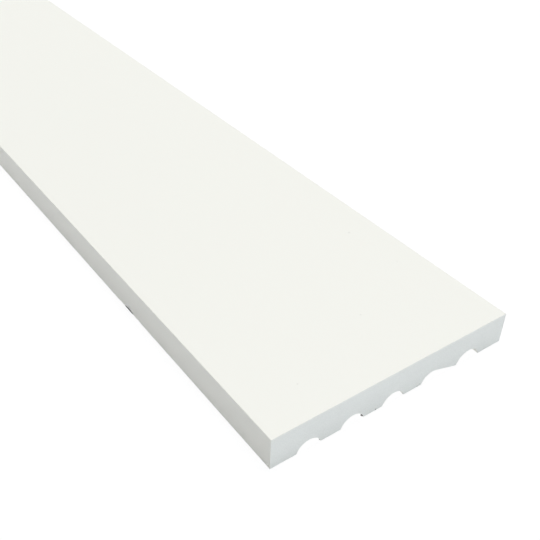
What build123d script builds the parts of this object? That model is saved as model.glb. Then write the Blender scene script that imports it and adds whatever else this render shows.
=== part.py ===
from build123d import *
from math import sqrt
import os

# Trim board, lying on its back with the face up: width along X, length along Y.
# The origin is in the middle of the back, level with the lands between the relief grooves.

# Stock size, in millimetres
board_length = 2438.4  # 8 ft
board_width = 139.7  # 5-1/2 in
board_thickness = 17.4625  # 11/16 in

# Relief grooves, run along the whole back. The last one is a little wider and deeper than the others.
groove_count = 5
groove_radius = 6.8
groove_depth = 4.9
last_groove_radius = 7.8
last_groove_depth = 5.6
left_land = 13.6  # solid strip outside the first groove
right_land = 15.7  # solid strip outside the last groove
narrow_land = 0.5  # what the splayed groove, the last but one, leaves of the land on its right

# Eased corners of the section
face_ease = 0.4
back_ease = 0.2
lip_ease = 0.25

# Each groove is the arc of a circle whose centre lies just behind the back
groove_axis_height = groove_depth - groove_radius
last_axis_height = last_groove_depth - last_groove_radius
half_mouth = sqrt(groove_radius**2 - groove_axis_height**2)
last_half_mouth = sqrt(last_groove_radius**2 - last_axis_height**2)
first_middle = half_mouth + left_land - board_width / 2
last_middle = board_width / 2 - right_land - last_half_mouth
groove_pitch = (last_middle - first_middle) / (groove_count - 1)
groove_middles = [first_middle + groove_pitch * i for i in range(groove_count)]

# The splayed groove's right flank slopes away in a straight line that touches its arc near the crown
splay_middle = groove_middles[-2]
splay_foot = last_middle - last_half_mouth - narrow_land


def back_corners(sketch):
    """The section's corners on the back, from left to right."""
    return sketch.vertices().group_by(Axis.Y)[0].sort_by(Axis.X)


with BuildPart() as trim_board:
    with BuildSketch(Plane.XZ) as section:
        Rectangle(board_width, board_thickness, align=(Align.CENTER, Align.MIN))
        with Locations(*[(x, groove_axis_height) for x in groove_middles[:-1]]):
            Circle(groove_radius, mode=Mode.SUBTRACT)
        with Locations((last_middle, last_axis_height)):
            Circle(last_groove_radius, mode=Mode.SUBTRACT)
        with BuildLine():
            arc = CenterArc((splay_middle, groove_axis_height), groove_radius, 0, 180, mode=Mode.PRIVATE)
            flank = ConstrainedLines(arc, (splay_foot, 0), selector=lambda lines: lines.sort_by(Axis.Y)[-1])
            foot, touch = flank.vertices().sort_by(Axis.Y)
            Polyline(touch, (splay_middle, 0), foot)
        make_face(mode=Mode.SUBTRACT)
        fillet(section.vertices().group_by(Axis.Y)[-1], face_ease)
        fillet(back_corners(section)[1:-1], lip_ease)
        fillet([back_corners(section)[0], back_corners(section)[-1]], back_ease)
    extrude(amount=board_length / 2, both=True)

trim_board.part.label = "trim_board"

os.makedirs("parts", exist_ok=True)
export_step(trim_board.part, "parts/trim_board.step")
print(f"groove mouths {2 * half_mouth:.2f} and {2 * last_half_mouth:.2f} mm wide, pitch {groove_pitch:.2f} mm")
print(f"section {trim_board.part.volume / board_length:.1f} mm2, volume {trim_board.part.volume:.0f} mm3")
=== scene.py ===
import random
from math import acos, atan2, cos, hypot, pi, radians, sin, sqrt, tan

import bmesh
import bpy
from bpy.props import FloatProperty, FloatVectorProperty, IntProperty, PointerProperty
from mathutils import Matrix, Vector, noise


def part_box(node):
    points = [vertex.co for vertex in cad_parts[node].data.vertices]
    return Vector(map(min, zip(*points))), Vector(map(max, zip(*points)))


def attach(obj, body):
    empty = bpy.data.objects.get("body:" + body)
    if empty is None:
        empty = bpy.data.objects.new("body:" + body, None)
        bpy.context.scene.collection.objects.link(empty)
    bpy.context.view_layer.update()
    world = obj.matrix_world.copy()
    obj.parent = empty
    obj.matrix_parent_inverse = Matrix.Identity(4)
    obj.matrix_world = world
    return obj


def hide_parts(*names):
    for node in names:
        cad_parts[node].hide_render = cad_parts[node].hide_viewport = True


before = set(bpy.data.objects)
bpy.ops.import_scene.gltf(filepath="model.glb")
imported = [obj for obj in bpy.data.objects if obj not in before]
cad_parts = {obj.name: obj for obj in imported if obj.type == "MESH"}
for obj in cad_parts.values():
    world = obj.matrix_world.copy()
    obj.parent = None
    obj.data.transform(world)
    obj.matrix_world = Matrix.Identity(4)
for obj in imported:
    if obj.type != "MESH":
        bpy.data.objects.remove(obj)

bl_info = {
    "name": "Trim Board",
    "version": (1, 0, 0),
    "blender": (4, 5, 0),
    "location": "3D View > Sidebar > Trim Board",
    "description": "A length of grooved white foam trim, sawn off square, on a pale studio floor",
    "category": "Add Mesh",
}

MM = 0.001
NODE = "trim_board"
LOW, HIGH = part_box(NODE)
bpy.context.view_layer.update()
WHITE, BLACK = (1.0, 1.0, 1.0, 1.0), (0.0, 0.0, 0.0, 1.0)

# Specks on the face, in millimetres across and along it from its near left corner, and how dark they are
FACE_SPECKS = (
    (27.7, 19.0, 0.12),
    (80.7, 38.7, 0.14),
    (121.7, 95.4, 0.3),
    (125.1, 60.9, 0.1),
    (131.2, 248.2, 0.12),
)
# Smudges on the near sawn end, in millimetres across and up it from its lower left corner, and how dark
END_SMUDGES = ((57.8, 0.4, 0.65), (83.3, 0.4, 0.3), (84.6, 1.1, 0.25))
SPECK_RADIUS, SMUDGE_RADIUS = 0.5 * MM, 0.6 * MM

# Clots of dark curls at the near end, their darkness painted shade of the grooves' inner walls: groove from
# the left, flank, count, painted shade, then the lowest and highest place up the flank and the curls' radius,
# in millimetres
CLOTS = (
    (1, 1, 4, 0.9, 0.3, 0.9, 0.22),
    (2, 1, 14, 1.0, 0.5, 1.8, 0.42),
    (3, 1, 4, 0.4, 0.3, 0.9, 0.25),
    (4, -1, 12, 0.6, 0.3, 3.0, 0.22),
)
# How the curls of a clot differ: in size, in painted shade, and in how many radii they stand off the flank
CLOT_SIZES, CLOT_SHADE, CLOT_OFF = (0.7, 1.1), (0.85, 1.0), (0.4, 1.3)
# The other curls: the most dirt on one, and how many radii it stands off the flank
CURL_DIRT, CURL_OFF = 0.3, 0.5
# Room that a curl needs round its root, in radii
CURL_ROOM = 1.5


class BoardSizes(bpy.types.PropertyGroup):
    """Section and length of the stock."""

    width: FloatProperty(
        name="Width", description="Across the face", default=HIGH.x - LOW.x, unit="LENGTH")
    length: FloatProperty(
        name="Length", description="From one sawn end to the other", default=HIGH.y - LOW.y, unit="LENGTH")
    thickness: FloatProperty(
        name="Thickness", description="From the lands to the face", default=HIGH.z - LOW.z, unit="LENGTH")
    groove_count: IntProperty(
        name="Grooves", description="Relief grooves along the back", default=5, min=2)
    groove_radius: FloatProperty(
        name="Groove Radius", description="Radius of each groove's arc", default=6.8 * MM, unit="LENGTH")
    groove_depth: FloatProperty(
        name="Groove Depth", description="From the lands to a groove's crown",
        default=4.9 * MM, unit="LENGTH")
    last_groove_radius: FloatProperty(
        name="Last Groove Radius", description="The last groove is wider", default=7.8 * MM, unit="LENGTH")
    last_groove_depth: FloatProperty(
        name="Last Groove Depth", description="The last groove is deeper", default=5.6 * MM, unit="LENGTH")
    left_land: FloatProperty(
        name="Left Land", description="Solid strip outside the first groove",
        default=13.6 * MM, unit="LENGTH")
    right_land: FloatProperty(
        name="Right Land", description="Solid strip outside the last groove",
        default=15.7 * MM, unit="LENGTH")
    narrow_land: FloatProperty(
        name="Narrow Land", description="Left beside the splayed groove", default=0.5 * MM, unit="LENGTH")
    face_ease: FloatProperty(
        name="Face Ease", description="Radius of the face's long edges", default=0.4 * MM, unit="LENGTH")
    back_ease: FloatProperty(
        name="Back Ease", description="Radius of the back's outer edges", default=0.2 * MM, unit="LENGTH")
    lip_ease: FloatProperty(
        name="Lip Ease", description="Radius of the groove lips", default=0.25 * MM, unit="LENGTH")
    saw_ease: FloatProperty(
        name="Saw Ease", description="Width of the worn edge round each sawn end",
        default=0.06 * MM, unit="LENGTH")


class NickSizes(bpy.types.PropertyGroup):
    """The bruise on the left side's lower edge: a rim darkened with painted shade, a gouge above it, and
    crushed edge beside.
    """

    place: FloatProperty(
        name="Place", description="Middle of the gouge, from the near end",
        default=121.8 * MM, unit="LENGTH")
    length: FloatProperty(
        name="Length", description="Of the gouge, along the edge", default=9.0 * MM, unit="LENGTH")
    # The rim is darkened with painted shade along the lower edge under the gouge
    rim: FloatProperty(
        name="Rim", description="Height of the dirty rim below the gouge", default=1.5 * MM, unit="LENGTH")
    ledge: FloatProperty(
        name="Ledge", description="Height of the ledge from the rim into the gouge",
        default=0.3 * MM, unit="LENGTH")
    height: FloatProperty(
        name="Height", description="Of the gouge's top, up the side", default=3.6 * MM, unit="LENGTH")
    depth: FloatProperty(
        name="Depth", description="Of the gouge, just above its ledge", default=0.6 * MM, unit="LENGTH")
    crushed_length: FloatProperty(
        name="Crushed Length", description="Of the edge that is pressed in",
        default=24.0 * MM, unit="LENGTH")
    crushed_height: FloatProperty(
        name="Crushed Height", description="Of the pressed edge, up the side",
        default=1.3 * MM, unit="LENGTH")
    crushed_depth: FloatProperty(
        name="Crushed Depth", description="By which the edge is pressed in",
        default=0.5 * MM, unit="LENGTH")
    # The rim's painted shade reaches this far onto the back
    wrap: FloatProperty(
        name="Wrap", description="How far the dirt reaches onto the back", default=1.4 * MM, unit="LENGTH")


class BurrSizes(bpy.types.PropertyGroup):
    """Curls of torn foam that the saw left on the groove flanks."""

    count: IntProperty(
        name="Count", description="Curls on each flank at each sawn end", default=6, min=0)
    smallest: FloatProperty(
        name="Smallest", description="Radius of the smallest curl", default=0.12 * MM, unit="LENGTH")
    largest: FloatProperty(
        name="Largest", description="Radius of the largest curl", default=0.26 * MM, unit="LENGTH")
    reach: FloatProperty(
        name="Reach", description="Height up to which the flanks are torn", default=3.2 * MM, unit="LENGTH")
    thickness: FloatProperty(
        name="Thickness", description="Of a curl, as a share of its radius", default=0.38)


class BoardFinish(bpy.types.PropertyGroup):
    """Colours of the extruded skin and of the sawn foam."""

    skin: FloatVectorProperty(
        name="Skin", description="Extruded skin",
        default=(0.905, 0.908, 0.85), subtype="COLOR", min=0, max=1)
    foam: FloatVectorProperty(
        name="Foam", description="Sawn foam",
        default=(0.864, 0.9, 0.882), subtype="COLOR", min=0, max=1)
    # The gouge's bare foam is whiter than the skin, and is painted brighter still as a highlight
    bare: FloatVectorProperty(
        name="Bare", description="Foam laid bare by the gouge",
        default=(0.99, 0.99, 0.98), subtype="COLOR", min=0, max=1)
    # Grime is dirt in the smudges, the specks and on some curls, and painted shade on the bruise and in the
    # clots
    grime: FloatVectorProperty(
        name="Grime", description="Dirt on the bruise and the curls, in the smudges and the specks",
        default=(0.07, 0.07, 0.065), subtype="COLOR", min=0, max=1)
    seed: IntProperty(
        name="Seed", description="Draw of everything scattered", default=7)


class StageLook(bpy.types.PropertyGroup):
    """Floor, light and camera."""

    sky: FloatProperty(
        name="Sky", description="Brightness of the soft light from all round", default=0.31)
    sky_tint: FloatVectorProperty(
        name="Sky Tint", description="Colour of the soft light from all round",
        default=(0.98, 0.985, 1.0), subtype="COLOR", min=0, max=1)
    key: FloatProperty(
        name="Key", description="Strength of the soft lamp overhead", default=1.69)
    key_from: FloatVectorProperty(
        name="Key From", description="Where the overhead lamp's light comes from",
        default=(0.28, 0.22, 0.94), subtype="DIRECTION")
    key_spread: FloatProperty(
        name="Key Spread", description="Apparent size of the overhead lamp",
        default=radians(50), subtype="ANGLE")
    fill: FloatProperty(
        name="Fill", description="Strength of the soft lamp in front", default=0.9)
    fill_from: FloatVectorProperty(
        name="Fill From", description="Where the front lamp's light comes from",
        default=(-0.17, -0.8, 0.5), subtype="DIRECTION")
    fill_spread: FloatProperty(
        name="Fill Spread", description="Apparent size of the front lamp",
        default=radians(45), subtype="ANGLE")
    floor: FloatVectorProperty(
        name="Floor", description="Colour of the floor under the light",
        default=(0.793, 0.802, 0.818), subtype="COLOR", min=0, max=1)
    floor_glow: FloatProperty(
        name="Floor Glow", description="Share of the floor's white that no shadow takes away", default=0.8)
    panel: FloatProperty(
        name="Panel", description="Brightness of the panel under the board, which lights its grooves",
        default=0.7)
    azimuth: FloatProperty(
        name="Azimuth", description="Camera's turn about the vertical", default=-0.6449566, subtype="ANGLE")
    elevation: FloatProperty(
        name="Elevation", description="Camera's height above the horizon",
        default=0.6398437, subtype="ANGLE")
    roll: FloatProperty(
        name="Roll", description="Camera's turn about its own axis", default=0.0334812, subtype="ANGLE")
    lens: FloatProperty(
        name="Lens", description="Focal length in millimetres", default=52.3065)
    place: FloatVectorProperty(
        name="Place", description="Camera from the near left corner of the back",
        default=(-127.30 * MM, -164.83 * MM, 256.34 * MM), subtype="TRANSLATION")


class Link:
    """A node's output. Sums written on it add Math nodes to its web."""

    def __init__(self, web, socket):
        self.web, self.socket = web, socket

    def math(self, operation, *values):
        return self.web.node("ShaderNodeMath", {"operation": operation}, dict(enumerate(values)))

    def __add__(self, other):
        return self.math("ADD", self, other)

    def __sub__(self, other):
        return self.math("SUBTRACT", self, other)

    def __rsub__(self, other):
        return self.math("SUBTRACT", other, self)

    def __mul__(self, other):
        return self.math("MULTIPLY", self, other)

    def __truediv__(self, other):
        return self.math("DIVIDE", self, other)

    __radd__ = __add__
    __rmul__ = __mul__

    def size(self):
        return self.math("ABSOLUTE", self)

    def above(self, level):
        return self.math("GREATER_THAN", self, level)

    def most(self, other):
        return self.math("MAXIMUM", self, other)

    def ramp(self, low, high):
        """0 at low and 1 at high, eased at both."""
        settings = {"interpolation_type": "SMOOTHSTEP"}
        sockets = {"Value": self, "From Min": low, "From Max": high}
        return self.web.node("ShaderNodeMapRange", settings, sockets)

    def part(self, name):
        """Another output of the same node."""
        return Link(self.web, self.socket.node.outputs[name])


class Web:
    """A node tree in the making."""

    def __init__(self, tree):
        self.tree = tree
        tree.nodes.clear()

    def node(self, kind, settings=None, sockets=None):
        """A new node, as a link from its first output. A socket may take a list of links."""
        made = self.tree.nodes.new(kind)
        for name, value in (settings or {}).items():
            setattr(made, name, value)
        for name, value in (sockets or {}).items():
            for one in value if isinstance(value, list) else [value]:
                if isinstance(one, Link):
                    self.tree.links.new(one.socket, made.inputs[name])
                else:
                    made.inputs[name].default_value = one
        return Link(self, made.outputs[0]) if made.outputs else made

    def blend(self, factor, first, second):
        """A colour between two colours."""
        settings = {"data_type": "RGBA", "clamp_factor": True}
        made = self.node("ShaderNodeMix", settings, {0: factor, 6: first, 7: second})
        return made.part(2)


def colour(values):
    """A colour property as a socket takes it, solid."""
    return (*values, 1.0)


def new_material(name):
    """A material and the web of its empty node tree."""
    made = bpy.data.materials.new(name)
    made.use_nodes = True
    return made, Web(made.node_tree)


def own_place(web):
    """Where the shaded point is on its piece, in metres."""
    return web.node("ShaderNodeTexCoord").part("Object")


def own_mark(web, name):
    """The number that the mesh's points carry under this name."""
    return web.node("ShaderNodeAttribute", {"attribute_name": name}).part("Fac")


def grain(web, size, scale=(1, 1, 1), detail=2.0):
    """Noise from 0 to 1 in blotches about size metres across, drawn out where a scale is under 1."""
    place = web.node("ShaderNodeMapping", {}, {"Vector": own_place(web), "Scale": scale})
    return web.node("ShaderNodeTexNoise", {}, {"Vector": place, "Scale": 1 / size, "Detail": detail})


# A spot's solid middle and the size of the bites in its edge, as shares of its radius
SPOT_MIDDLE, SPOT_BITE = 0.4, 0.6


def spots(web, places, radius):
    """1 in the middle of each ragged spot and 0 outside all, less where a spot is fainter."""
    ragged = radius * (grain(web, SPOT_BITE * radius) - 0.5)
    total = 0.0
    for place, darkness in places:
        away = web.node("ShaderNodeVectorMath", {"operation": "DISTANCE"}, {0: own_place(web), 1: place})
        outside = (away.part("Value") + ragged).ramp(SPOT_MIDDLE * radius, radius)
        total = darkness * (1 - outside) + total
    return total


# Sizes of the skin's soft mottle, fine grain and draw lines, and how they are drawn out along the board
MOTTLE, FINE, DRAW_LINE = 35 * MM, 1.5 * MM, 1.2 * MM
MOTTLE_RUN, FINE_RUN, DRAW_RUN = (1, 0.35, 1), (1, 0.5, 1), (1, 0.01, 1)
# The skin's tone, as a share of its colour, and its roughness, each with what varies it
SKIN_TONE, MOTTLE_TONE, FINE_TONE = 0.985, 0.02, 0.01
SKIN_ROUGH, MOTTLE_ROUGH, DRAW_ROUGH = 0.58, 0.08, 0.06
# What makes up the skin's relief, then how strong and how high it is
DRAW_RELIEF, FINE_RELIEF = 0.6, 0.4
SKIN_BUMP = {"Strength": 0.25, "Distance": 0.02 * MM}


def skin_material(finish):
    """Extruded skin: satin off-white with faint draw lines, a soft mottle and a few specks, and on the bruise
    dirt, painted shade and a painted highlight.
    """
    material, web = new_material("extruded_skin")
    mottle = grain(web, MOTTLE, MOTTLE_RUN)
    fine = grain(web, FINE, FINE_RUN)
    draw = grain(web, DRAW_LINE, DRAW_RUN, detail=3.0)
    specks = [((LOW.x + x * MM, LOW.y + y * MM, HIGH.z), darkness) for x, y, darkness in FACE_SPECKS]
    # The grime mark is dirt on the crushed edge and painted shade on the bruise's rim and along its gouge's
    # top
    grime = own_mark(web, "grime") + spots(web, specks, SPECK_RADIUS)
    tone = SKIN_TONE + MOTTLE_TONE * mottle + FINE_TONE * fine
    worn = web.blend(tone, BLACK, colour(finish.skin))
    # The gouge's bare foam, painted bright as a highlight
    highlighted = web.blend(own_mark(web, "bare"), worn, colour(finish.bare))
    paint = web.blend(grime, highlighted, colour(finish.grime))
    rough = SKIN_ROUGH + MOTTLE_ROUGH * (mottle - 0.5) + DRAW_ROUGH * (draw - 0.5)
    relief = DRAW_RELIEF * draw + FINE_RELIEF * fine
    bump = web.node("ShaderNodeBump", {}, {**SKIN_BUMP, "Height": relief})
    surface = web.node("ShaderNodeBsdfPrincipled", {}, {
        "Base Color": paint, "Roughness": rough, "IOR": 1.52, "Normal": bump})
    web.node("ShaderNodeOutputMaterial", {}, {"Surface": surface})
    return material


# Sizes of the foam's cells, its clouds and the saw's marks, and the shift that centres those marks
CELL, CLOUD, SAW_MARK = 0.4 * MM, 6 * MM, 9 * MM
MARK_SHIFT = (0.03, 0, 0.11)
# The foam's tone, as a share of its colour, and its roughness, each with what varies it; the share that grows
# with height is painted shade, darker towards the floor
FOAM_TONE, HEIGHT_SHADE, CLOUD_TONE, CELL_TONE, MARK_TONE = 0.865, 0.045, 0.03, 0.11, 0.012
FOAM_ROUGH, CLOUD_ROUGH = 0.75, 0.1
# What makes up the foam's relief, then how strong and how high it is
CELL_RELIEF, MARK_RELIEF = 0.7, 0.3
FOAM_BUMP = {"Strength": 0.5, "Distance": 0.06 * MM}


def foam_material(name, finish, sizes):
    """Sawn foam: matte, slightly bluish, with painted shade that darkens it towards the floor, with fine
    cells and faint saw marks.
    """
    material, web = new_material(name)
    cells = web.node("ShaderNodeTexVoronoi", {"feature": "F1"}, {"Vector": own_place(web), "Scale": 1 / CELL})
    cloud = grain(web, CLOUD)
    shifted = web.node("ShaderNodeMapping", {}, {"Vector": own_place(web), "Location": MARK_SHIFT})
    marks = web.node("ShaderNodeTexWave", {"wave_type": "RINGS", "rings_direction": "SPHERICAL"}, {
        "Vector": shifted, "Scale": 1 / SAW_MARK, "Distortion": 1.5, "Detail": 2.0}).part("Fac")
    smudges = [((LOW.x + x * MM, LOW.y, z * MM), darkness) for x, z, darkness in END_SMUDGES]
    # The grime mark is dirt on some curls and painted shade on the clots
    grime = own_mark(web, "grime") + spots(web, smudges, SMUDGE_RADIUS)
    # Painted shade: the foam is darker towards the floor
    height = web.node("ShaderNodeSeparateXYZ", {}, {"Vector": own_place(web)}).part("Z") / sizes.thickness
    tone = FOAM_TONE + HEIGHT_SHADE * height + CLOUD_TONE * cloud + CELL_TONE * cells + MARK_TONE * marks
    cut = web.blend(tone, BLACK, colour(finish.foam))
    paint = web.blend(grime, cut, colour(finish.grime))
    relief = CELL_RELIEF * cells + MARK_RELIEF * marks
    bump = web.node("ShaderNodeBump", {}, {**FOAM_BUMP, "Height": relief})
    surface = web.node("ShaderNodeBsdfPrincipled", {}, {
        "Base Color": paint, "Roughness": FOAM_ROUGH + CLOUD_ROUGH * cloud, "IOR": 1.45, "Normal": bump})
    web.node("ShaderNodeOutputMaterial", {}, {"Surface": surface})
    return material


# Steps in the round stretches of the section: eased edges, lips, whole groove, splayed groove and its foot
BACK_STEPS, FACE_STEPS, LIP_STEPS, GROOVE_STEPS, SPLAYED_STEPS, FOOT_STEPS = 6, 8, 5, 36, 20, 3
# Height of each row of points that the bruise moves, and how far the rows go on above it
ROW, ROWS_ABOVE = 0.1 * MM, 0.4 * MM
# A straight stretch longer than the first gets a point at the second's distance from each of its ends
LONG_STRETCH, GUARD = 1.0 * MM, 0.1 * MM


def arc(centre, radius, start, end, steps):
    """Points of a round stretch of the section, from one angle to another."""
    turns = [start + (end - start) * i / steps for i in range(steps + 1)]
    return [(centre[0] + radius * cos(a), centre[1] + radius * sin(a)) for a in turns]


def half_mouth(radius, axis_height):
    """Half the width that a groove opens on the back."""
    return sqrt(radius**2 - axis_height**2)


def all_grooves(sizes):
    """Each groove's middle across the board, its arc's radius, and the height of that arc's centre."""
    plain = (sizes.groove_radius, sizes.groove_depth - sizes.groove_radius)
    last = (sizes.last_groove_radius, sizes.last_groove_depth - sizes.last_groove_radius)
    first_middle = half_mouth(*plain) + sizes.left_land - sizes.width / 2
    last_middle = sizes.width / 2 - sizes.right_land - half_mouth(*last)
    plain_count = sizes.groove_count - 1
    pitch = (last_middle - first_middle) / plain_count
    return [(first_middle + pitch * i, *plain) for i in range(plain_count)] + [(last_middle, *last)]


def groove_outline(lip, middle, radius, axis_height, splay_foot=None):
    """One groove from its left lip to its right one. A splayed groove's right flank is a straight slope."""
    reach = sqrt((radius + lip) ** 2 - (lip - axis_height) ** 2)
    lean = atan2(axis_height - lip, reach)
    axis = (middle, axis_height)
    points = arc((middle - reach, lip), lip, -pi / 2, lean, LIP_STEPS)
    if splay_foot is None:
        points += arc(axis, radius, pi + lean, -lean, GROOVE_STEPS)[1:-1]
        return points + arc((middle + reach, lip), lip, pi - lean, 1.5 * pi, LIP_STEPS)
    run, rise = splay_foot - middle, -axis_height
    touch = atan2(rise, run) + acos(radius / hypot(run, rise))
    slope = pi / 2 - touch
    points += arc(axis, radius, pi + lean, touch, SPLAYED_STEPS)[1:]
    corner = (splay_foot + lip * tan(slope / 2), lip)
    return points + arc(corner, lip, 1.5 * pi - slope, 1.5 * pi, FOOT_STEPS)


def section_outline(sizes, nick):
    """The board's section as a closed ring of points, from the back's left corner round to it again."""
    half_width, top = sizes.width / 2, sizes.thickness
    back, face = sizes.back_ease, sizes.face_ease
    grooves = all_grooves(sizes)
    last_middle, *last_arc = grooves[-1]
    splay_foot = last_middle - half_mouth(*last_arc) - sizes.narrow_land
    points = arc((back - half_width, back), back, pi, 1.5 * pi, BACK_STEPS)
    points.append((nick.wrap - half_width, 0.0))
    for i, groove in enumerate(grooves):
        splayed = i == len(grooves) - 2
        points += groove_outline(sizes.lip_ease, *groove, splay_foot if splayed else None)
    points += arc((half_width - back, back), back, -pi / 2, 0, BACK_STEPS)
    points += arc((half_width - face, top - face), face, 0, pi / 2, FACE_STEPS)
    points += arc((face - half_width, top - face), face, pi / 2, pi, FACE_STEPS)
    rows = round((nick.height + ROWS_ABOVE - back) / ROW)
    points += [(-half_width, back + ROW * (rows - i)) for i in range(rows)]
    return guarded(points)


def guarded(points):
    """The points with one more near each end of every straight stretch, so that it shades flat."""
    made = []
    for here, there in zip(points, points[1:] + points[:1]):
        made.append(here)
        run = Vector(there) - Vector(here)
        if run.length > LONG_STRETCH:
            step = run.normalized() * GUARD
            made += [tuple(Vector(here) + step), tuple(Vector(there) - step)]
    return made


def group_input(tree, name, kind, value=None):
    """Adds a named input to a Geometry Nodes tree."""
    made = tree.interface.new_socket(name=name, in_out="INPUT", socket_type=kind)
    if value is not None:
        made.default_value = value


# Ends of the rails that are nearer than this become one point
RAIL_GAP = 0.01 * MM
# A face is sawn where its normal's part along the board is more than this
END_FACING = 0.9
# The materials' places on the swept board
SKIN_SLOT, SAWN_SLOT = 0, 1


def sweep_tree():
    """Geometry Nodes that run a closed outline along the board's length and close both ends.

    The rail has close steps where the bruise is and plain ones elsewhere.
    """
    tree = bpy.data.node_groups.new("stock_sweep", "GeometryNodeTree")
    tree.is_modifier = True
    group_input(tree, "Outline", "NodeSocketGeometry")
    for name, value in (("Length", 2.4), ("Fine From", 0.1), ("Fine To", 0.12)):
        group_input(tree, name, "NodeSocketFloat", value)
    for name, value in (("Plain Step", 40 * MM), ("Fine Step", 0.2 * MM)):
        group_input(tree, name, "NodeSocketFloat", value)
    for name in ("Skin", "Sawn"):
        group_input(tree, name, "NodeSocketMaterial")
    tree.interface.new_socket(name="Stock", in_out="OUTPUT", socket_type="NodeSocketGeometry")
    web = Web(tree)
    given = web.node("NodeGroupInput")
    half = given.part("Length") * 0.5

    def rail(start, end, step):
        """A straight stretch of the rail, between two distances from the near sawn end."""
        ends = [web.node("ShaderNodeCombineXYZ", {}, {"Z": half - s}) for s in (start, end)]
        line = web.node("GeometryNodeCurvePrimitiveLine", {}, {"Start": ends[0], "End": ends[1]})
        return web.node("GeometryNodeResampleCurve", {"mode": "LENGTH"}, {"Curve": line, "Length": step})

    fine_from, fine_to = given.part("Fine From"), given.part("Fine To")
    rails = [
        rail(0.0, fine_from, given.part("Plain Step")),
        rail(fine_from, fine_to, given.part("Fine Step")),
        rail(fine_to, given.part("Length"), given.part("Plain Step")),
    ]
    chain = web.node("GeometryNodeCurveToMesh", {}, {
        "Curve": web.node("GeometryNodeJoinGeometry", {}, {"Geometry": rails})})
    chain = web.node("GeometryNodeMergeByDistance", {}, {"Geometry": chain, "Distance": RAIL_GAP})
    swept = web.node("GeometryNodeCurveToMesh", {}, {
        "Curve": web.node("GeometryNodeMeshToCurve", {}, {"Mesh": chain}),
        "Profile Curve": web.node("GeometryNodeMeshToCurve", {}, {"Mesh": given.part("Outline")}),
        "Fill Caps": True})
    stock = web.node("GeometryNodeTransform", {}, {"Geometry": swept, "Rotation": (pi / 2, 0, 0)})
    facing = web.node("ShaderNodeSeparateXYZ", {}, {"Vector": web.node("GeometryNodeInputNormal")})
    sawn = facing.part("Y").size().above(END_FACING)
    stock = web.node("GeometryNodeSetShadeSmooth", {}, {"Geometry": stock, "Shade Smooth": 1 - sawn})
    stock = web.node("GeometryNodeRealizeInstances", {}, {"Geometry": stock})
    stock = web.node("GeometryNodeSetMaterial", {}, {"Geometry": stock, "Material": given.part("Skin")})
    stock = web.node("GeometryNodeSetMaterial", {}, {
        "Geometry": stock, "Selection": sawn, "Material": given.part("Sawn")})
    web.node("NodeGroupOutput", {}, {"Stock": stock})
    return tree


# Points along a curl and round it, and how much thinner its ends are than its middle
BOW_POINTS, RING_POINTS, TAPER = 7, 4, 0.7


def curl_tree():
    """Geometry Nodes that put a small curl of torn foam at each root, turned anyhow.

    Each root says how large its curl is.
    """
    tree = bpy.data.node_groups.new("torn_curls", "GeometryNodeTree")
    tree.is_modifier = True
    group_input(tree, "Roots", "NodeSocketGeometry")
    for name, value in (("Sweep", radians(200)), ("Thickness", 0.4)):
        group_input(tree, name, "NodeSocketFloat", value)
    group_input(tree, "Seed", "NodeSocketInt", 7)
    group_input(tree, "Foam", "NodeSocketMaterial")
    tree.interface.new_socket(name="Curls", in_out="OUTPUT", socket_type="NodeSocketGeometry")
    web = Web(tree)
    given = web.node("NodeGroupInput")
    bow = web.node("GeometryNodeCurveArc", {"mode": "RADIUS"}, {
        "Resolution": BOW_POINTS, "Radius": 1.0, "Sweep Angle": given.part("Sweep")})
    ring = web.node("GeometryNodeCurvePrimitiveCircle", {"mode": "RADIUS"}, {
        "Resolution": RING_POINTS, "Radius": given.part("Thickness")})
    along = web.node("GeometryNodeSplineParameter").part("Factor")
    thinned = 1 - TAPER * (2 * along - 1).size()
    curl = web.node("GeometryNodeCurveToMesh", {}, {
        "Curve": bow, "Profile Curve": ring, "Scale": thinned, "Fill Caps": True})
    turn = web.node("FunctionNodeRandomValue", {"data_type": "FLOAT_VECTOR"}, {
        0: (0, 0, 0), 1: (2 * pi, 2 * pi, 2 * pi), "Seed": given.part("Seed")})
    size = web.node("GeometryNodeInputNamedAttribute", {"data_type": "FLOAT"}, {"Name": "size"})
    curls = web.node("GeometryNodeInstanceOnPoints", {}, {
        "Points": given.part("Roots"), "Instance": curl, "Rotation": turn, "Scale": size})
    curls = web.node("GeometryNodeRealizeInstances", {}, {"Geometry": curls})
    curls = web.node("GeometryNodeSetMaterial", {}, {"Geometry": curls, "Material": given.part("Foam")})
    web.node("NodeGroupOutput", {}, {"Curls": curls})
    return tree


def through_nodes(name, points, edges, tree, values, layers=None):
    """A plain mesh object: the points and edges after the tree has worked on them with these values.

    Each of the layers gives every point one number.
    """
    start = bpy.data.meshes.new(name)
    start.from_pydata(points, edges, [])
    for layer, numbers in (layers or {}).items():
        start.attributes.new(layer, "FLOAT", "POINT").data.foreach_set("value", numbers)
    made = bpy.data.objects.new(name, start)
    bpy.context.scene.collection.objects.link(made)
    modifier = made.modifiers.new(tree.name, "NODES")
    modifier.node_group = tree
    for socket in tree.interface.items_tree:
        if socket.name in values:
            modifier[socket.identifier] = values[socket.name]
    depsgraph = bpy.context.evaluated_depsgraph_get()
    made.data = bpy.data.meshes.new_from_object(made.evaluated_get(depsgraph), depsgraph=depsgraph)
    made.modifiers.remove(modifier)
    made.data.name = name
    return made


def close_up(mesh):
    """Joins points that coincide and turns every face outwards."""
    bmesh.ops.remove_doubles(mesh, verts=mesh.verts, dist=0.001 * MM)
    bmesh.ops.recalc_face_normals(mesh, faces=mesh.faces)


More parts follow.
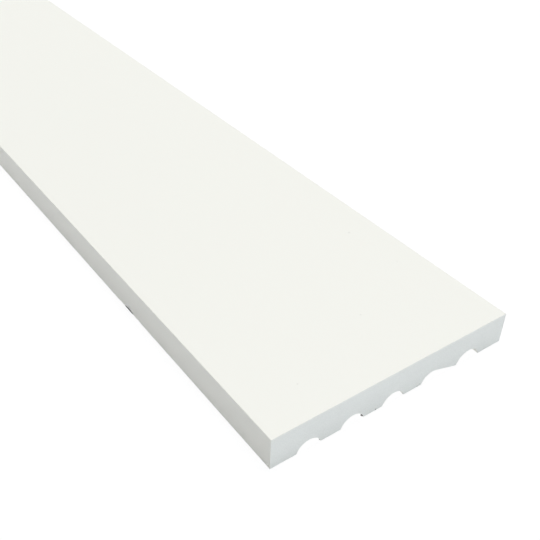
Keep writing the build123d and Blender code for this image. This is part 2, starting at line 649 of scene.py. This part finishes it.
def ease_sawn_edges(mesh, width):
    """Takes the sharpness off the edge round each sawn end."""
    around = [e for e in mesh.edges if len(e.link_faces) == 2
              and {f.material_index for f in e.link_faces} == {SKIN_SLOT, SAWN_SLOT}]
    bmesh.ops.bevel(
        mesh, geom=around, offset=width, segments=2, profile=0.5, affect="EDGES", material=SKIN_SLOT)


# How much the rim's height varies, as a share, and over what length of the edge
TEAR, TEAR_LENGTH = 0.3, 0.9 * MM
# Share of the crushed edge's depth that is reached, how much that varies, and over what length
CRUSH, CRUSH_SWING, CRUSH_LENGTH = 0.5, 1.4, 2.6 * MM
# Dirt on the crushed edge, painted shade along the gouge's top, and how far down that shade fades out
CRUSHED_DIRT, TOP_SHADE, TOP_SHADE_HEIGHT = 0.5, 0.2, 0.4 * MM


def bruise(mesh, sizes, nick):
    """Presses the bruise into the left side's lower edge, and marks its dirt, the painted shade on its rim
    and along its gouge's top, and its bare foam, painted bright as a highlight.
    """
    side, near = -sizes.width / 2, -sizes.length / 2
    grime = mesh.verts.layers.float.new("grime")
    bare = mesh.verts.layers.float.new("bare")
    for v in mesh.verts:
        along, up = v.co.y - near - nick.place, v.co.z
        if abs(along) > nick.crushed_length / 2 or up > nick.height or v.co.x > side + nick.crushed_depth:
            continue
        swell = sqrt(max(0.0, 1 - (2 * along / nick.length) ** 2))
        marked = min(1.0, 2 * swell)
        torn = 1 + TEAR * noise.noise(Vector((along, 0, 0)) / TEAR_LENGTH)
        rim, top = nick.rim * swell * torn, nick.height * swell
        bed = rim + nick.ledge
        # Painted shade on the rim below the gouge
        if up < rim:
            v[grime] = marked
        elif up < top:
            share = (up - rim) / nick.ledge if up < bed else (top - up) / (top - bed)
            v.co.x += nick.depth * swell * share
            # Bare foam, painted bright as a highlight over the gouge
            v[bare] = marked
            # Painted shade along the gouge's top, where it faces down
            v[grime] = TOP_SHADE * max(0.0, 1 - (top - up) / TOP_SHADE_HEIGHT)
        crushed = 1 - (2 * along / nick.crushed_length) ** 2
        uneven = CRUSH + CRUSH_SWING * noise.noise(Vector((along, 0, 0)) / CRUSH_LENGTH)
        edge = max(0.0, 1 - up / nick.crushed_height) ** 2
        press = min(1.0, max(0.0, crushed * uneven)) * edge * (1 - swell)
        v.co.x += nick.crushed_depth * press
        v[grime] = max(v[grime], CRUSHED_DIRT * press)


def make_board(scene):
    """The board: the section swept along its length, eased at the saw cuts, with its one bruise."""
    sizes, nick, finish = scene.board_sizes, scene.board_nick, scene.board_finish
    outline = section_outline(sizes, nick)
    points = [(x, z, 0.0) for x, z in outline]
    edges = [(i, (i + 1) % len(points)) for i in range(len(points))]
    board = through_nodes("board", points, edges, sweep_tree(), {
        "Length": sizes.length,
        "Fine From": nick.place - nick.crushed_length / 2,
        "Fine To": nick.place + nick.crushed_length / 2,
        "Skin": skin_material(finish),
        "Sawn": foam_material("sawn_foam", finish, sizes),
    })
    mesh = bmesh.new()
    mesh.from_mesh(board.data)
    close_up(mesh)
    ease_sawn_edges(mesh, sizes.saw_ease)
    bruise(mesh, sizes, nick)
    mesh.to_mesh(board.data)
    mesh.free()
    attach(board, "root")
    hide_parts(NODE)


def make_burrs(scene):
    """The curls of torn foam on the groove flanks at both sawn ends, and the dark clots at the near one,
    whose darkness is painted shade.
    """
    sizes, burrs, finish = scene.board_sizes, scene.board_burrs, scene.board_finish
    draw = random.Random(finish.seed)
    grooves = all_grooves(sizes)
    roots, layers = [], {"size": [], "grime": []}

    def tear(groove, side, end, height, size, dirt_and_shade, off):
        """One curl beside a flank, just inside a sawn end. Off is how far it stands off, in its radii."""
        middle, radius, axis_height = grooves[groove]
        room = CURL_ROOM * size
        height = max(height, room)
        reach = sqrt(radius**2 - (height - axis_height) ** 2) - off * size
        roots.append((middle + side * reach, end * (sizes.length / 2 - room), height))
        layers["size"].append(size)
        layers["grime"].append(dirt_and_shade)

    for end in (-1, 1):
        for groove in range(len(grooves)):
            for side in (-1, 1):
                splayed = groove == len(grooves) - 2 and side > 0
                for _ in range(0 if splayed else burrs.count):
                    size, height = draw.uniform(burrs.smallest, burrs.largest), draw.uniform(0.0, burrs.reach)
                    tear(groove, side, end, height, size, CURL_DIRT * draw.random() ** 2, CURL_OFF)
    # The clots' darkness is painted shade of the grooves' inner walls
    for groove, side, count, dirt_and_shade, low, high, clot_size in CLOTS:
        for _ in range(count):
            size, height = clot_size * MM * draw.uniform(*CLOT_SIZES), draw.uniform(low, high) * MM
            clot_shade, off = dirt_and_shade * draw.uniform(*CLOT_SHADE), draw.uniform(*CLOT_OFF)
            tear(groove - 1, side, -1, height, size, clot_shade, off)
    made = through_nodes("sawn_burrs", roots, [], curl_tree(), {
        "Thickness": burrs.thickness,
        "Seed": finish.seed,
        "Foam": foam_material("torn_foam", finish, sizes),
    }, layers)
    mesh = bmesh.new()
    mesh.from_mesh(made.data)
    close_up(mesh)
    mesh.to_mesh(made.data)
    mesh.free()
    made.data.polygons.foreach_set("use_smooth", [True] * len(made.data.polygons))
    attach(made, "root")


# Half the floor's width, and the strength of the white that the eye sees on it
FLOOR_REACH, FLOOR_WHITE = 40.0, 1.1
# The panel under the board: how far in from the board's edges, and how far above the floor
PANEL_INSET, PANEL_LIFT = 0.1 * MM, 0.01 * MM


def to_the_eye(web):
    """1 for what the camera sees, straight or in gloss or glass, and 0 for what only lights things."""
    path = web.node("ShaderNodeLightPath")
    seen = path.part("Is Camera Ray").most(path.part("Is Glossy Ray"))
    return seen.most(path.part("Is Transmission Ray"))


def level_sheet(scene, name, across, along, height, material):
    """A level rectangle about the board's middle, with these half widths."""
    mesh = bpy.data.meshes.new(name)
    corners = [(-across, -along), (across, -along), (across, along), (-across, along)]
    mesh.from_pydata([(x, y, height) for x, y in corners], [], [(0, 1, 2, 3)])
    mesh.materials.append(material)
    made = bpy.data.objects.new(name, mesh)
    scene.collection.objects.link(made)
    return made


def floor_material(look):
    """White to the eye under even light, with the board's shadow; a plain pale floor to the light."""
    material, web = new_material("studio_floor")
    pale = web.node("ShaderNodeBsdfDiffuse", {}, {"Color": colour(look.floor)})
    glow = web.node("ShaderNodeEmission", {}, {"Color": WHITE, "Strength": FLOOR_WHITE})
    share = to_the_eye(web) * look.floor_glow
    surface = web.node("ShaderNodeMixShader", {}, {0: share, 1: pale, 2: glow})
    web.node("ShaderNodeOutputMaterial", {}, {"Surface": surface})
    return material


def panel_material(look):
    """An even glow, which lights the grooves and is white to the camera."""
    material, web = new_material("lit_panel")
    seen = web.node("ShaderNodeLightPath").part("Is Camera Ray")
    glow = web.node("ShaderNodeEmission", {}, {
        "Color": WHITE, "Strength": look.panel + seen * (1 - look.panel)})
    web.node("ShaderNodeOutputMaterial", {}, {"Surface": glow})
    return material


def make_sky(scene, look):
    """Soft light from all round, plain white to the eye."""
    scene.world = bpy.data.worlds.new("studio")
    scene.world.use_nodes = True
    web = Web(scene.world.node_tree)
    seen = to_the_eye(web)
    sky = web.node("ShaderNodeBackground", {}, {
        "Color": web.blend(seen, colour(look.sky_tint), WHITE),
        "Strength": look.sky + seen * (1 - look.sky)})
    web.node("ShaderNodeOutputWorld", {}, {"Surface": sky})


def make_lamp(scene, name, strength, source, spread):
    """A soft lamp far away, whose light comes from the direction source."""
    light = bpy.data.lights.new(name, "SUN")
    light.energy, light.angle = strength, spread
    made = bpy.data.objects.new(name, light)
    made.rotation_euler = Vector(source).to_track_quat("Z", "Y").to_euler()
    scene.collection.objects.link(made)


def make_camera(scene, look):
    """The photograph's own view of the near end."""
    camera = bpy.data.objects.new("camera", bpy.data.cameras.new("camera"))
    camera.data.lens = look.lens
    camera.data.sensor_width = 36.0
    camera.data.clip_start = 10 * MM
    turn = Matrix.Rotation(look.azimuth, 4, "Z") @ Matrix.Rotation(pi / 2 - look.elevation, 4, "X")
    place = Matrix.Translation(LOW + Vector(look.place))
    camera.matrix_world = place @ turn @ Matrix.Rotation(look.roll, 4, "Z")
    scene.collection.objects.link(camera)
    scene.camera = camera


def make_stage(scene):
    """A pale floor, a lit panel under the board, an even sky, two soft lamps, and the camera."""
    look, sizes = scene.board_stage, scene.board_sizes
    floor = level_sheet(scene, "floor", FLOOR_REACH, FLOOR_REACH, 0.0, floor_material(look))
    across, along = sizes.width / 2 - PANEL_INSET, sizes.length / 2 - PANEL_INSET
    panel = level_sheet(scene, "panel", across, along, PANEL_LIFT, panel_material(look))
    make_sky(scene, look)
    make_lamp(scene, "overhead", look.key, look.key_from, look.key_spread)
    make_lamp(scene, "front", look.fill, look.fill_from, look.fill_spread)
    make_camera(scene, look)
    scene.view_settings.view_transform = "Standard"


class TRIMBOARD_OT_board(bpy.types.Operator):
    """Make the board in place of its plain solid"""

    bl_idname = "trimboard.board"
    bl_label = "Board"

    def execute(self, context):
        make_board(context.scene)
        return {"FINISHED"}


class TRIMBOARD_OT_burrs(bpy.types.Operator):
    """Make the torn curls of foam at the sawn ends"""

    bl_idname = "trimboard.burrs"
    bl_label = "Sawn Burrs"

    def execute(self, context):
        make_burrs(context.scene)
        return {"FINISHED"}


class TRIMBOARD_OT_stage(bpy.types.Operator):
    """Make the floor, the light and the camera"""

    bl_idname = "trimboard.stage"
    bl_label = "Stage"

    def execute(self, context):
        make_stage(context.scene)
        return {"FINISHED"}


class TRIMBOARD_PT_panel(bpy.types.Panel):
    """Sizes, colours and the steps that make the board"""

    bl_idname = "TRIMBOARD_PT_panel"
    bl_label = "Trim Board"
    bl_space_type = "VIEW_3D"
    bl_region_type = "UI"
    bl_category = "Trim Board"

    def draw(self, context):
        for group in GROUPS:
            box = self.layout.box()
            owner = getattr(context.scene, group)
            for name in owner.__annotations__:
                box.prop(owner, name)
        for step in STEPS:
            self.layout.operator(step.bl_idname)


GROUPS = {
    "board_sizes": BoardSizes,
    "board_nick": NickSizes,
    "board_burrs": BurrSizes,
    "board_finish": BoardFinish,
    "board_stage": StageLook,
}
STEPS = (TRIMBOARD_OT_board, TRIMBOARD_OT_burrs, TRIMBOARD_OT_stage)


def register():
    for kind in (*GROUPS.values(), *STEPS, TRIMBOARD_PT_panel):
        bpy.utils.register_class(kind)
    for name, kind in GROUPS.items():
        setattr(bpy.types.Scene, name, PointerProperty(type=kind))


def unregister():
    for name in GROUPS:
        delattr(bpy.types.Scene, name)
    for kind in (TRIMBOARD_PT_panel, *reversed(STEPS), *reversed(GROUPS.values())):
        bpy.utils.unregister_class(kind)


def main():
    """Builds everything in order."""
    register()
    bpy.ops.trimboard.board()
    bpy.ops.trimboard.burrs()
    bpy.ops.trimboard.stage()


if __name__ == "__main__":
    main()
